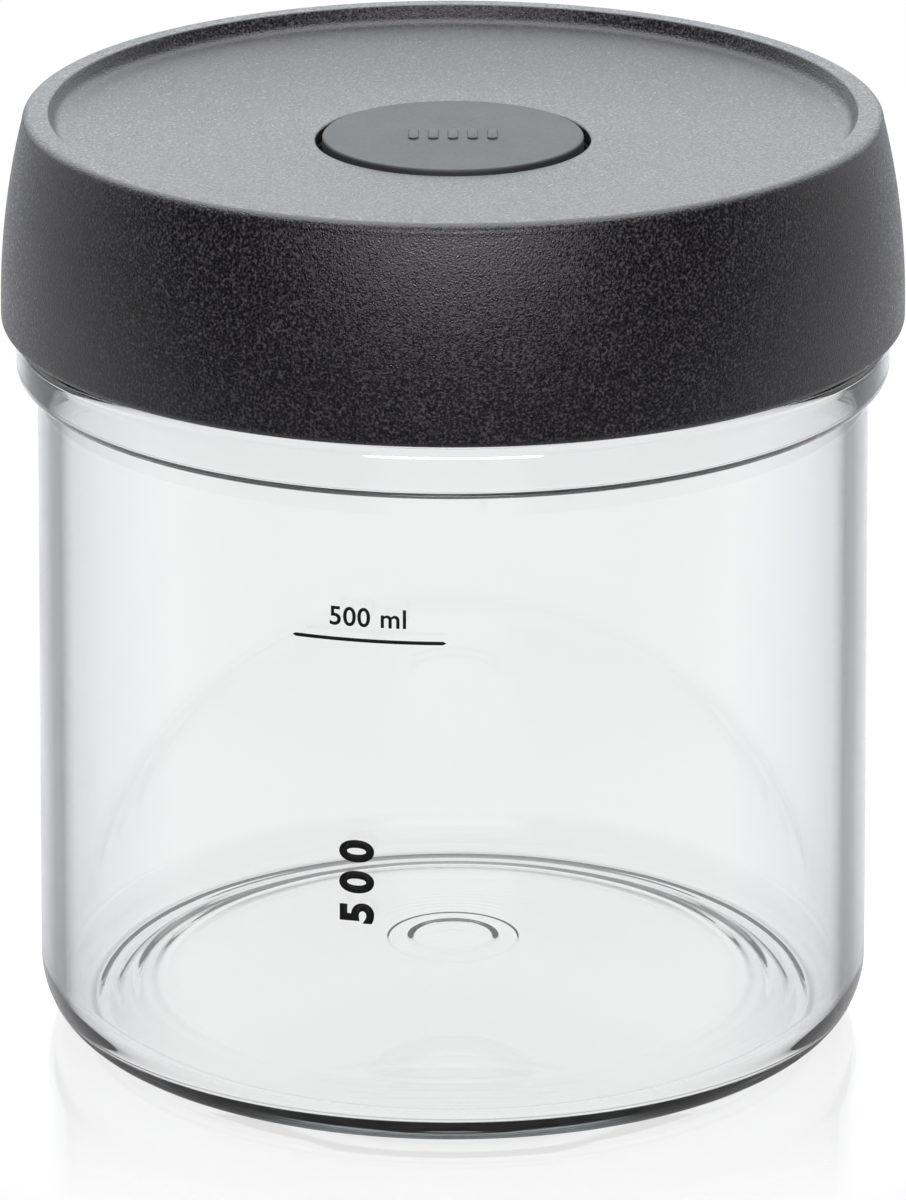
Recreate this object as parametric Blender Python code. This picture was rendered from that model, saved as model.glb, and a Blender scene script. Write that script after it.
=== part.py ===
"""Glass fermentation jar with a screw lid and a push-to-vent valve.

The jar stands on z = 0 with its axis on Z. Its front, which carries the fill mark,
faces -Y. Every round piece is a closed outline turned about the Z axis.
"""
import bpy
import bmesh
from math import cos, pi, radians, sin
from mathutils import Matrix

MM = 0.001
GAP = 0.3 * MM
EDGE = 0.3 * MM
SOFT_EDGE = 0.5 * MM

# Jar body
JAR_RADIUS = 53.1 * MM
BASE_RADIUS = 53.9 * MM
JAR_WALL = 2.7 * MM
FOOT_CORNER_WIDTH = 6.3 * MM
FOOT_CORNER_HEIGHT = 8.0 * MM
FOOT_INNER_RADIUS = 46.4 * MM
FLOOR_CENTRE_Z = 10.0 * MM
FLOOR_EDGE_Z = 3.6 * MM
FLOOR_POWER = 1.5
PUNT_RADIUS = 39.5 * MM
PUNT_EDGE_Z = 1.9 * MM
PUNT_CENTRE_Z = 7.2 * MM
PUNT_POWER = 1.7
PIT_RADIUS = 6.0 * MM
PIT_EDGE = 1.1 * MM
PIT_DEPTH = 0.43 * MM

# Shoulder bead, neck and lip of the glass
CREASE_Z = 86.4 * MM
BEAD_RADIUS = 55.8 * MM
BEAD_TOP_Z = 93.4 * MM
BEAD_CORNER = 2.1 * MM
NECK_RADIUS = 50.8 * MM
NECK_WALL = 2.6 * MM
NECK_FILLET = 1.0 * MM
SHOULDER_INNER_DROP = 3.0 * MM
LIP_Z = 110.9 * MM

# Screw lugs: six starts that rise one lead in a full turn
LUG_COUNT = 6
LUG_LEAD = 36.0 * MM
GLASS_LUG_HEIGHT = 1.4 * MM
GLASS_LUG_THICKNESS = 2.2 * MM
GLASS_LUG_SPAN = radians(44)
GLASS_LUG_Z = 101.0 * MM
LID_LUG_HEIGHT = 1.5 * MM
LID_LUG_THICKNESS = 2.0 * MM
LID_LUG_SPAN = radians(18)
LID_LUG_START = radians(4)
LUG_CLEARANCE = 0.4 * MM
LUG_ROOT = 0.5 * MM
LUG_TIP_SHARE = 0.6
LUG_END_FULLNESS = 0.35

# Outer shell of the lid
LID_BOTTOM_Z = 93.9 * MM
LID_TOP_Z = 121.1 * MM
LID_RADIUS = 57.62 * MM
SKIRT_DRAW_IN = 3.05 * MM
SKIRT_POWER = 2.1
SKIRT_WALL = 1.4 * MM
SKIRT_EDGE = 0.9 * MM
SKIRT_INNER_TOP = 2.5 * MM
RIM_EDGE = 1.35 * MM
RIM_INNER_RADIUS = 51.3 * MM
RIM_WALL_RADIUS = 50.45 * MM
RIM_WALL_DEPTH = 1.5 * MM
RECESS_DEPTH = 4.2 * MM
DISH_RADIUS = 49.3 * MM
DISH_RISE = 2.0 * MM
DISH_FLAT_RADIUS = 24.0 * MM
DISH_POWER = 1.6
TOP_PLATE = 1.8 * MM
BUTTON_HOLE_RADIUS = 17.43 * MM

# Threaded liner of the lid
LINER_RADIUS = 54.0 * MM
LINER_INNER_RADIUS = 52.7 * MM
LINER_BOTTOM_Z = 95.3 * MM
LINER_PLATE = 1.55 * MM
LINER_STEP_RADIUS = 24.6 * MM
LINER_OPENING_RADIUS = 20.1 * MM
GASKET_RIB_RADIUS = 46.0 * MM
GASKET_RIB_WIDTH = 1.0 * MM
GASKET_RIB_DEPTH = 1.3 * MM

# Sealing ring
GASKET_OUTER_RADIUS = 52.3 * MM
GASKET_INNER_RADIUS = 46.4 * MM
GASKET_LIP_RADIUS = 47.8 * MM
GASKET_LIP_DROP = 1.8 * MM

# Valve housing
HOUSING_FLANGE_RADIUS = 24.3 * MM
HOUSING_FLANGE = 1.25 * MM
HOUSING_RADIUS = 19.7 * MM
HOUSING_INNER_RADIUS = 17.6 * MM
HOUSING_FLOOR_Z = 104.6 * MM
HOUSING_FLOOR = 1.6 * MM
GUIDE_RADIUS = 4.4 * MM
GUIDE_BORE = 2.9 * MM
SEAT_RADIUS = 6.4 * MM
SEAT_WIDTH = 1.0 * MM
SEAT_DEPTH = 0.6 * MM
HOUSING_CHAMFER = 1.0 * MM
PORT_COUNT = 6
PORT_RADIUS = 1.2 * MM
PORT_CIRCLE_RADIUS = 10.5 * MM

# Valve: button, stem, spring, poppet
BUTTON_RADIUS = 16.6 * MM
BUTTON_PROUD = 0.5 * MM
BUTTON_EDGE = 0.35 * MM
BUTTON_SKIN = 1.6 * MM
BUTTON_LIP = 0.5 * MM
BUTTON_LIP_REACH = 1.2 * MM
BUTTON_TRAVEL = 1.5 * MM
CORE_THICKNESS = 2.4 * MM
STEM_RADIUS = 2.3 * MM
STEM_END_Z = 96.6 * MM
STEM_GROOVE_RADIUS = 1.6 * MM
STEM_GROOVE_PLAY = 0.1 * MM
MEMBRANE_RADIUS = 13.5 * MM
MEMBRANE_HUB_RADIUS = 7.6 * MM
MEMBRANE_HUB = 1.2 * MM
MEMBRANE_FLAP = 0.6 * MM
MEMBRANE_TIP = 0.36 * MM
SEAL_RADIUS = 7.6 * MM
SEAL_THICKNESS = 1.0 * MM
POPPET_RADIUS = 8.0 * MM
POPPET_DISC = 1.0 * MM
POPPET_HUB_RADIUS = 4.2 * MM
POPPET_HUB = 1.0 * MM
CLIP_THICKNESS = 0.8 * MM
CLIP_INNER_RADIUS = 1.9 * MM
CLIP_OUTER_RADIUS = 4.2 * MM
CLIP_SPAN = radians(290)
SPRING_RADIUS = 6.0 * MM
SPRING_WIRE = 0.4 * MM
SPRING_TURNS = 4.5

# Facets
FINE = 56
MEDIUM = 36
COARSE = 20
PORT_FACETS = 10
SHARP_ANGLE = radians(32)

# Sizes and heights that follow from the dimensions above
FOOT_FLAT_RADIUS = BASE_RADIUS - FOOT_CORNER_WIDTH
PLATE_CORNER_RADIUS = RIM_INNER_RADIUS - RECESS_DEPTH
RECESS_Z = LID_TOP_Z - RECESS_DEPTH
PLATE_UNDERSIDE_Z = RECESS_Z - TOP_PLATE
LINER_TOP_Z = PLATE_UNDERSIDE_Z - GAP
LINER_UNDERSIDE_Z = LINER_TOP_Z - LINER_PLATE
FLANGE_UNDERSIDE_Z = LINER_TOP_Z - HOUSING_FLANGE
GASKET_TOP_Z = LINER_UNDERSIDE_Z - GAP
GASKET_BOTTOM_Z = LIP_Z + GAP
BUTTON_TOP_Z = RECESS_Z + BUTTON_PROUD
CORE_TOP_Z = BUTTON_TOP_Z - BUTTON_SKIN - GAP
CORE_BOTTOM_Z = CORE_TOP_Z - CORE_THICKNESS
GUIDE_TOP_Z = CORE_BOTTOM_Z - BUTTON_TRAVEL - GAP
MEMBRANE_Z = HOUSING_FLOOR_Z + GAP
SEAT_Z = HOUSING_FLOOR_Z - HOUSING_FLOOR - SEAT_DEPTH
SEAL_TOP_Z = SEAT_Z - GAP
POPPET_TOP_Z = SEAL_TOP_Z - SEAL_THICKNESS - GAP
CLIP_TOP_Z = POPPET_TOP_Z - POPPET_DISC - POPPET_HUB - GAP


def clear_scene():
    for item in list(bpy.data.objects):
        bpy.data.objects.remove(item, do_unlink=True)


def finish(name, colour, roughness, metallic=0.0, transmission=0.0):
    """A Principled material for one piece."""
    mat = bpy.data.materials.new(name)
    mat.use_nodes = True
    shader = mat.node_tree.nodes["Principled BSDF"]
    shader.inputs["Base Color"].default_value = (*colour, 1.0)
    shader.inputs["Roughness"].default_value = roughness
    shader.inputs["Metallic"].default_value = metallic
    shader.inputs["Transmission Weight"].default_value = transmission
    return mat


def arc(centre_r, centre_z, radius, start, end, steps, height=None):
    """Outline points along an arc, with angles in degrees from the outward direction.

    height is the upright radius, where the arc is part of an ellipse."""
    height = height or radius
    points = []
    for i in range(steps + 1):
        angle = radians(start + (end - start) * i / steps)
        points.append((centre_r + radius * cos(angle), centre_z + height * sin(angle)))
    return points


def world_height(item):
    """An object's height above the table, through its parents."""
    height = 0
    while item:
        height += item.location.z
        item = item.parent
    return height


def new_object(name, bm, origin_z, mat, parent):
    """Turn a bmesh in world coordinates into an object whose origin is on the axis."""
    bmesh.ops.recalc_face_normals(bm, faces=bm.faces)
    bmesh.ops.translate(bm, verts=bm.verts, vec=(0, 0, -origin_z))
    mesh = bpy.data.meshes.new(name)
    bm.to_mesh(mesh)
    bm.free()
    mesh.shade_smooth()
    mesh.set_sharp_from_angle(angle=SHARP_ANGLE)
    piece = bpy.data.objects.new(name, mesh)
    bpy.context.collection.objects.link(piece)
    piece.location.z = origin_z
    if mat:
        mesh.materials.append(mat)
    if parent:
        piece.parent = parent
        piece.location.z = origin_z - world_height(parent)
    return piece


def turned(name, outline, segments, origin_z, mat, parent=None):
    """Turn an outline of (radius, height) points about Z into one closed solid."""
    bm = bmesh.new()
    verts = [bm.verts.new((r, 0, z)) for r, z in outline]
    edges = [bm.edges.new(pair) for pair in zip(verts, verts[1:])]
    if outline[0][0] > 0 or outline[-1][0] > 0:
        edges.append(bm.edges.new((verts[-1], verts[0])))
    bmesh.ops.spin(bm, geom=verts + edges, cent=(0, 0, 0), axis=(0, 0, 1),
                   angle=2 * pi, steps=segments, use_merge=True)
    bmesh.ops.remove_doubles(bm, verts=bm.verts, dist=1e-6)
    return new_object(name, bm, origin_z, mat, parent)


def swept_section(bm, sections):
    """Join a row of equal four-point sections into one closed bar."""
    rings = [[bm.verts.new(point) for point in section] for section in sections]
    for near, far in zip(rings, rings[1:]):
        for i in range(4):
            j = (i + 1) % 4
            bm.faces.new((near[i], near[j], far[j], far[i]))
    bm.faces.new(rings[0])
    bm.faces.new(rings[-1])


def ring_of_lugs(name, root_radius, tip_radius, thickness, start, span, start_z, steps=8):
    """The tool that adds a ring of helical screw lugs to a wall."""
    bm = bmesh.new()
    for lug in range(LUG_COUNT):
        first = start + lug * 2 * pi / LUG_COUNT
        sections = []
        for i in range(steps + 1):
            t = i / steps
            angle = first + span * t
            z = start_z + LUG_LEAD * (start + span * t) / (2 * pi)
            fullness = min(1.0, LUG_END_FULLNESS + 4 * min(t, 1 - t))
            tip = root_radius + (tip_radius - root_radius) * fullness
            root_half = thickness / 2
            tip_half = root_half * LUG_TIP_SHARE
            section = []
            for r, half in ((root_radius, -root_half), (root_radius, root_half),
                            (tip, tip_half), (tip, -tip_half)):
                section.append((r * sin(angle), -r * cos(angle), z + half))
            sections.append(section)
        swept_section(bm, sections)
    tool = new_object(name, bm, 0, None, None)
    as_cutter(tool)
    return tool


def as_cutter(tool):
    tool.hide_render = True
    tool.display_type = "WIRE"


def combine(piece, tool, operation):
    modifier = piece.modifiers.new(tool.name, "BOOLEAN")
    modifier.operation = operation
    modifier.solver = "EXACT"
    modifier.object = tool


def bead_outline():
    """The rounded bead that the lid's edge sits over, from its crease to its flat top."""
    centre_r = BEAD_RADIUS - BEAD_CORNER
    lower = arc(centre_r, CREASE_Z + BEAD_CORNER, BEAD_CORNER, -75, 0, 4)
    upper = arc(centre_r, BEAD_TOP_Z - BEAD_CORNER, BEAD_CORNER, 0, 90, 4)
    return [(JAR_RADIUS, CREASE_Z)] + lower + upper


def floor_height(r):
    """The inside of the base, a dome that ends level at the corner."""
    rise = FLOOR_CENTRE_Z - FLOOR_EDGE_Z
    return FLOOR_EDGE_Z + rise * (1 - (r / FOOT_FLAT_RADIUS) ** 2) ** FLOOR_POWER


def punt_height(r):
    """The hollow underside of the base, with the shallow round pit in its middle."""
    pit = PIT_DEPTH if r < PIT_RADIUS else 0
    return PUNT_CENTRE_Z + (PUNT_EDGE_Z - PUNT_CENTRE_Z) * (r / PUNT_RADIUS) ** PUNT_POWER + pit


def build_jar(parent):
    glass = finish("clear_glass", (0.93, 0.96, 0.95), 0.03, transmission=1.0)
    neck_inner = NECK_RADIUS - NECK_WALL
    lip_radius = NECK_WALL / 2
    outline = [(r, punt_height(r)) for r in (0, PIT_RADIUS - PIT_EDGE, PIT_RADIUS)]
    outline += [(PUNT_RADIUS * share, punt_height(PUNT_RADIUS * share)) for share in (0.4, 0.6, 0.8, 1)]
    outline += [(FOOT_INNER_RADIUS, 0)]
    outline += arc(FOOT_FLAT_RADIUS, FOOT_CORNER_HEIGHT, FOOT_CORNER_WIDTH, -90, 0, 6,
                   FOOT_CORNER_HEIGHT)
    outline += bead_outline()
    outline += arc(NECK_RADIUS + NECK_FILLET, BEAD_TOP_Z + NECK_FILLET, NECK_FILLET, 270, 180, 2)
    outline += arc(NECK_RADIUS - lip_radius, LIP_Z - lip_radius, lip_radius, 0, 180, 6)
    outline += [(neck_inner, BEAD_TOP_Z), (JAR_RADIUS - JAR_WALL, CREASE_Z - SHOULDER_INNER_DROP)]
    outline += arc(FOOT_FLAT_RADIUS, FOOT_CORNER_HEIGHT, FOOT_CORNER_WIDTH - JAR_WALL, 0, -90, 5,
                   FOOT_CORNER_HEIGHT - FLOOR_EDGE_Z)
    for share in (0.9, 0.75, 0.6, 0.4, 0.2, 0):
        r = FOOT_FLAT_RADIUS * share
        outline.append((r, floor_height(r)))
    jar = turned("jar_glass", outline, FINE, 0, glass, parent)
    lugs = ring_of_lugs("glass_lugs", NECK_RADIUS - LUG_ROOT, NECK_RADIUS + GLASS_LUG_HEIGHT,
                        GLASS_LUG_THICKNESS, 0, GLASS_LUG_SPAN, GLASS_LUG_Z)
    combine(jar, lugs, "UNION")


def skirt_radius(z):
    """The convex outer wall of the lid, widest near its lower edge."""
    low = LID_BOTTOM_Z + SKIRT_EDGE
    high = LID_TOP_Z - RIM_EDGE
    return LID_RADIUS - SKIRT_DRAW_IN * max(0, (z - low) / (high - low)) ** SKIRT_POWER


def dish_height(r):
    """The sunken top of the lid, flat round the button and rising towards the rim."""
    share = max(0, (r - DISH_FLAT_RADIUS) / (DISH_RADIUS - DISH_FLAT_RADIUS))
    return RECESS_Z + DISH_RISE * share ** DISH_POWER


def build_cover(parent):
    black = finish("lid_black", (0.035, 0.034, 0.037), 0.45)
    rim_start = LID_TOP_Z - RIM_EDGE
    rim_radius = skirt_radius(rim_start)
    lower_edge = LID_BOTTOM_Z + SKIRT_EDGE
    steps = 7
    heights = [lower_edge + (rim_start - lower_edge) * (i / steps) ** 0.8 for i in range(steps + 1)]
    outline = [(LID_RADIUS - SKIRT_WALL, LID_BOTTOM_Z)]
    outline += arc(LID_RADIUS - SKIRT_EDGE, lower_edge, SKIRT_EDGE, -90, -30, 2)
    outline += [(skirt_radius(z), z) for z in heights]
    outline += arc(rim_radius - RIM_EDGE, rim_start, RIM_EDGE, 30, 90, 3)
    outline += [(RIM_INNER_RADIUS, LID_TOP_Z), (RIM_WALL_RADIUS, LID_TOP_Z - RIM_WALL_DEPTH)]
    dish_steps = 5
    for i in range(dish_steps + 1):
        r = DISH_RADIUS + (DISH_FLAT_RADIUS - DISH_RADIUS) * i / dish_steps
        outline.append((r, dish_height(r)))
    outline += [(BUTTON_HOLE_RADIUS + EDGE, RECESS_Z), (BUTTON_HOLE_RADIUS, RECESS_Z - EDGE),
                (BUTTON_HOLE_RADIUS, PLATE_UNDERSIDE_Z)]
    outline += arc(PLATE_CORNER_RADIUS, LID_TOP_Z, RECESS_DEPTH + TOP_PLATE, -90, -35, 3)
    inside = [z for z in reversed(heights) if lower_edge < z < PLATE_UNDERSIDE_Z + SKIRT_INNER_TOP]
    outline += [(skirt_radius(z) - SKIRT_WALL, z) for z in inside]
    turned("lid_cover", outline, FINE, LID_BOTTOM_Z, black, parent)


def build_liner(parent):
    grey = finish("liner_plastic", (0.055, 0.055, 0.058), 0.5)
    rib_inner = GASKET_RIB_RADIUS - GASKET_RIB_WIDTH
    rib_z = LINER_UNDERSIDE_Z - GASKET_RIB_DEPTH
    step_top = FLANGE_UNDERSIDE_Z - GAP
    step_bottom = step_top - LINER_PLATE
    outline = [(LINER_RADIUS - SOFT_EDGE, LINER_TOP_Z), (LINER_STEP_RADIUS, LINER_TOP_Z),
               (LINER_STEP_RADIUS, step_top), (LINER_OPENING_RADIUS, step_top),
               (LINER_OPENING_RADIUS, step_bottom), (LINER_STEP_RADIUS + LINER_PLATE, step_bottom),
               (LINER_STEP_RADIUS + LINER_PLATE, LINER_UNDERSIDE_Z), (rib_inner, LINER_UNDERSIDE_Z),
               (rib_inner, rib_z), (GASKET_RIB_RADIUS, rib_z), (GASKET_RIB_RADIUS, LINER_UNDERSIDE_Z),
               (LINER_INNER_RADIUS, LINER_UNDERSIDE_Z), (LINER_INNER_RADIUS, LINER_BOTTOM_Z + EDGE),
               (LINER_INNER_RADIUS + EDGE, LINER_BOTTOM_Z), (LINER_RADIUS - EDGE, LINER_BOTTOM_Z),
               (LINER_RADIUS, LINER_BOTTOM_Z + EDGE), (LINER_RADIUS, LINER_TOP_Z - SOFT_EDGE)]
    liner = turned("lid_liner", outline, FINE, LID_BOTTOM_Z, grey, parent)
    drop = (GLASS_LUG_THICKNESS + LID_LUG_THICKNESS) / 2 + LUG_CLEARANCE
    lugs = ring_of_lugs("liner_lugs", LINER_INNER_RADIUS + LUG_ROOT, LINER_INNER_RADIUS - LID_LUG_HEIGHT,
                        LID_LUG_THICKNESS, LID_LUG_START, LID_LUG_SPAN, GLASS_LUG_Z - drop, steps=4)
    combine(liner, lugs, "UNION")


def build_gasket(parent):
    silicone = finish("seal_silicone", (0.62, 0.64, 0.62), 0.55)
    lip_bottom = GASKET_BOTTOM_Z - GASKET_LIP_DROP
    outline = [(GASKET_INNER_RADIUS, GASKET_TOP_Z), (GASKET_INNER_RADIUS, lip_bottom + EDGE),
               (GASKET_INNER_RADIUS + EDGE, lip_bottom), (GASKET_LIP_RADIUS - EDGE, lip_bottom),
               (GASKET_LIP_RADIUS, lip_bottom + EDGE), (GASKET_LIP_RADIUS, GASKET_BOTTOM_Z),
               (GASKET_OUTER_RADIUS - SOFT_EDGE, GASKET_BOTTOM_Z),
               (GASKET_OUTER_RADIUS, GASKET_BOTTOM_Z + SOFT_EDGE),
               (GASKET_OUTER_RADIUS, GASKET_TOP_Z - SOFT_EDGE),
               (GASKET_OUTER_RADIUS - SOFT_EDGE, GASKET_TOP_Z)]
    turned("sealing_ring", outline, FINE, GASKET_BOTTOM_Z, silicone, parent)


def port_cutters():
    """Round tools for the gas ports in the housing's floor."""
    bm = bmesh.new()
    middle = HOUSING_FLOOR_Z - HOUSING_FLOOR / 2
    for i in range(PORT_COUNT):
        angle = 2 * pi * i / PORT_COUNT
        centre = (PORT_CIRCLE_RADIUS * cos(angle), PORT_CIRCLE_RADIUS * sin(angle), middle)
        bmesh.ops.create_cone(bm, cap_ends=True, segments=PORT_FACETS, radius1=PORT_RADIUS,
                              radius2=PORT_RADIUS, depth=HOUSING_FLOOR * 2,
                              matrix=Matrix.Translation(centre))
    tool = new_object("port_tool", bm, 0, None, None)
    as_cutter(tool)
    return tool


def build_housing(parent):
    plastic = finish("housing_plastic", (0.09, 0.09, 0.095), 0.5)
    floor_underside = HOUSING_FLOOR_Z - HOUSING_FLOOR
    seat_inner = SEAT_RADIUS - SEAT_WIDTH
    outline = [(GUIDE_BORE, GUIDE_TOP_Z), (GUIDE_BORE, floor_underside), (seat_inner, floor_underside),
               (seat_inner, SEAT_Z), (SEAT_RADIUS, SEAT_Z), (SEAT_RADIUS, floor_underside),
               (HOUSING_RADIUS - HOUSING_CHAMFER, floor_underside),
               (HOUSING_RADIUS, floor_underside + HOUSING_CHAMFER),
               (HOUSING_RADIUS, FLANGE_UNDERSIDE_Z), (HOUSING_FLANGE_RADIUS, FLANGE_UNDERSIDE_Z),
               (HOUSING_FLANGE_RADIUS, LINER_TOP_Z), (HOUSING_INNER_RADIUS, LINER_TOP_Z),
               (HOUSING_INNER_RADIUS, HOUSING_FLOOR_Z), (GUIDE_RADIUS, HOUSING_FLOOR_Z),
               (GUIDE_RADIUS, GUIDE_TOP_Z)]
    housing = turned("valve_housing", outline, MEDIUM, HOUSING_FLOOR_Z, plastic, parent)
    combine(housing, port_cutters(), "DIFFERENCE")


def build_membrane(parent):
    silicone = finish("membrane_silicone", (0.62, 0.64, 0.62), 0.6)
    inner = GUIDE_RADIUS + GAP
    outline = [(inner, MEMBRANE_Z), (MEMBRANE_RADIUS, MEMBRANE_Z),
               (MEMBRANE_RADIUS, MEMBRANE_Z + MEMBRANE_TIP),
               (MEMBRANE_HUB_RADIUS, MEMBRANE_Z + MEMBRANE_FLAP),
               (MEMBRANE_HUB_RADIUS - EDGE, MEMBRANE_Z + MEMBRANE_HUB),
               (inner, MEMBRANE_Z + MEMBRANE_HUB)]
    turned("vent_membrane", outline, COARSE, MEMBRANE_Z, silicone, parent)


def build_button(parent):
    rubber = finish("button_silicone", (0.06, 0.063, 0.067), 0.6)
    inner = BUTTON_RADIUS - BUTTON_SKIN
    lip_z = CORE_BOTTOM_Z - GAP
    bottom = lip_z - BUTTON_LIP
    lip_inner = inner - BUTTON_LIP_REACH
    outline = [(0, BUTTON_TOP_Z - BUTTON_SKIN), (inner, BUTTON_TOP_Z - BUTTON_SKIN), (inner, lip_z),
               (lip_inner, lip_z), (lip_inner, bottom), (BUTTON_RADIUS - EDGE, bottom),
               (BUTTON_RADIUS, bottom + EDGE)]
    outline += arc(BUTTON_RADIUS - BUTTON_EDGE, BUTTON_TOP_Z - BUTTON_EDGE, BUTTON_EDGE, 0, 90, 3)
    outline += [(0, BUTTON_TOP_Z)]
    turned("valve_button", outline, MEDIUM, BUTTON_TOP_Z, rubber, parent)


def build_stem(parent):
    plastic = finish("stem_plastic", (0.75, 0.75, 0.73), 0.45)
    core_radius = BUTTON_RADIUS - BUTTON_SKIN - GAP
    groove_top = CLIP_TOP_Z + STEM_GROOVE_PLAY
    groove_bottom = CLIP_TOP_Z - CLIP_THICKNESS - STEM_GROOVE_PLAY
    outline = [(0, STEM_END_Z), (STEM_RADIUS - EDGE, STEM_END_Z), (STEM_RADIUS, STEM_END_Z + EDGE),
               (STEM_RADIUS, groove_bottom), (STEM_GROOVE_RADIUS, groove_bottom),
               (STEM_GROOVE_RADIUS, groove_top), (STEM_RADIUS, groove_top),
               (STEM_RADIUS, CORE_BOTTOM_Z), (core_radius, CORE_BOTTOM_Z), (core_radius, CORE_TOP_Z),
               (0, CORE_TOP_Z)]
    turned("valve_stem", outline, COARSE, CORE_BOTTOM_Z, plastic, parent)


def build_poppet(parent):
    plastic = finish("poppet_plastic", (0.75, 0.75, 0.73), 0.45)
    bore = STEM_RADIUS + GAP
    disc_bottom = POPPET_TOP_Z - POPPET_DISC
    hub_bottom = disc_bottom - POPPET_HUB
    outline = [(bore, POPPET_TOP_Z), (bore, hub_bottom), (POPPET_HUB_RADIUS, hub_bottom),
               (POPPET_HUB_RADIUS, disc_bottom), (POPPET_RADIUS, disc_bottom),
               (POPPET_RADIUS, POPPET_TOP_Z)]
    turned("valve_poppet", outline, COARSE, POPPET_TOP_Z, plastic, parent)


def build_poppet_seal(parent):
    silicone = finish("poppet_silicone", (0.62, 0.64, 0.62), 0.6)
    inner = STEM_RADIUS + GAP
    bottom = SEAL_TOP_Z - SEAL_THICKNESS
    outline = [(inner, SEAL_TOP_Z), (inner, bottom), (SEAL_RADIUS - EDGE, bottom),
               (SEAL_RADIUS, bottom + EDGE), (SEAL_RADIUS, SEAL_TOP_Z)]
    turned("poppet_seal", outline, COARSE, SEAL_TOP_Z, silicone, parent)


def build_clip(parent):
    """An open spring-steel ring that snaps into the stem's groove."""
    steel = finish("clip_steel", (0.62, 0.62, 0.62), 0.3, metallic=1.0)
    bm = bmesh.new()
    steps = 16
    bottom = CLIP_TOP_Z - CLIP_THICKNESS
    corners = ((CLIP_INNER_RADIUS, bottom), (CLIP_OUTER_RADIUS, bottom),
               (CLIP_OUTER_RADIUS, CLIP_TOP_Z), (CLIP_INNER_RADIUS, CLIP_TOP_Z))
    sections = []
    for i in range(steps + 1):
        angle = (2 * pi - CLIP_SPAN) / 2 + CLIP_SPAN * i / steps
        sections.append([(r * cos(angle), r * sin(angle), z) for r, z in corners])
    swept_section(bm, sections)
    new_object("stem_clip", bm, CLIP_TOP_Z, steel, parent)


def build_spring(parent):
    """The return spring between the membrane's hub and the button's core."""
    steel = finish("spring_steel", (0.62, 0.62, 0.62), 0.25, metallic=1.0)
    low = MEMBRANE_Z + MEMBRANE_HUB + GAP + SPRING_WIRE
    high = CORE_BOTTOM_Z - GAP - SPRING_WIRE
    points_per_turn = 10
    count = int(SPRING_TURNS * points_per_turn)
    curve = bpy.data.curves.new("valve_spring", "CURVE")
    curve.dimensions = "3D"
    curve.bevel_depth = SPRING_WIRE
    curve.bevel_resolution = 1
    curve.use_fill_caps = True
    spline = curve.splines.new("POLY")
    spline.points.add(count)
    for i, point in enumerate(spline.points):
        angle = 2 * pi * SPRING_TURNS * i / count
        z = (high - low) * i / count
        point.co = (SPRING_RADIUS * cos(angle), SPRING_RADIUS * sin(angle), z, 1)
    curve.materials.append(steel)
    spring = bpy.data.objects.new("valve_spring", curve)
    bpy.context.collection.objects.link(spring)
    spring.parent = parent
    spring.location.z = low - world_height(parent)


def axis_empty(name, z, parent=None):
    empty = bpy.data.objects.new(name, None)
    empty.empty_display_size = 0.02
    bpy.context.collection.objects.link(empty)
    empty.location.z = z
    if parent:
        empty.parent = parent
        empty.location.z = z - world_height(parent)
    return empty


def build():
    clear_scene()
    jar_axis = axis_empty("jar_axis", 0)
    lid_axis = axis_empty("lid_axis", LID_BOTTOM_Z)
    build_jar(jar_axis)
    build_gasket(lid_axis)
    build_cover(lid_axis)
    build_liner(lid_axis)
    build_housing(lid_axis)
    build_membrane(lid_axis)
    build_spring(lid_axis)
    valve_axis = axis_empty("valve_axis", RECESS_Z, lid_axis)
    build_button(valve_axis)
    build_stem(valve_axis)
    build_poppet(valve_axis)
    build_poppet_seal(valve_axis)
    build_clip(valve_axis)


build()
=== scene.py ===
"""Looks of the fermentation jar: fine surfaces, materials, studio floor, light and camera.

Sizes are in millimetres, heights count up from the table, and the front faces -Y.
"""
from math import atan2, ceil, cos, hypot, pi, radians, sin, sqrt, tan
import bmesh
import bpy
from mathutils import Matrix, Vector


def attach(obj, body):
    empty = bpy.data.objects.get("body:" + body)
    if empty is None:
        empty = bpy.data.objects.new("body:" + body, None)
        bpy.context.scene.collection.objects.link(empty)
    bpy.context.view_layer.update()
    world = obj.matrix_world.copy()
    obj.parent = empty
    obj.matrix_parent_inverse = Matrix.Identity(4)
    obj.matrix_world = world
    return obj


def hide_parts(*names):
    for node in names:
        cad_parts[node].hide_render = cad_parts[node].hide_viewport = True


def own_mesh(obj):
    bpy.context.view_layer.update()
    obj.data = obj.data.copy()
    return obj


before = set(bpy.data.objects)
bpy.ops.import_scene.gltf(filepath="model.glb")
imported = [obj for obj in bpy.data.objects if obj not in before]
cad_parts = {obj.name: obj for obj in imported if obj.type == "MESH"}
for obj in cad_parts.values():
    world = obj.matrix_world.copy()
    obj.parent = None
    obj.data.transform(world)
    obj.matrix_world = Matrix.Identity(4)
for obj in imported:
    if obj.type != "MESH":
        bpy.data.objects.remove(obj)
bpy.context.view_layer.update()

MM = 0.001
GAP = 0.3
TURNED_SEGMENTS = 256
BUTTON_SEGMENTS = 192
MIDDLE_SEGMENTS = 144
SMALL_SEGMENTS = 96
FILLET_STEP = radians(11)
EDGE_LOOP = 0.12
ON_AXIS = 1e-6
SHARP_EDGE = radians(40)

# Mesh steps along the outlines
BASE_STEP = 1.2
PIT_STEP = 0.1
RIPPLE_STEP = 0.15
FLOOR_STEPS = 30
SKIRT_STEPS = 24
DISH_STEPS = 28
LUG_RING_STEP = 0.2

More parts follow.
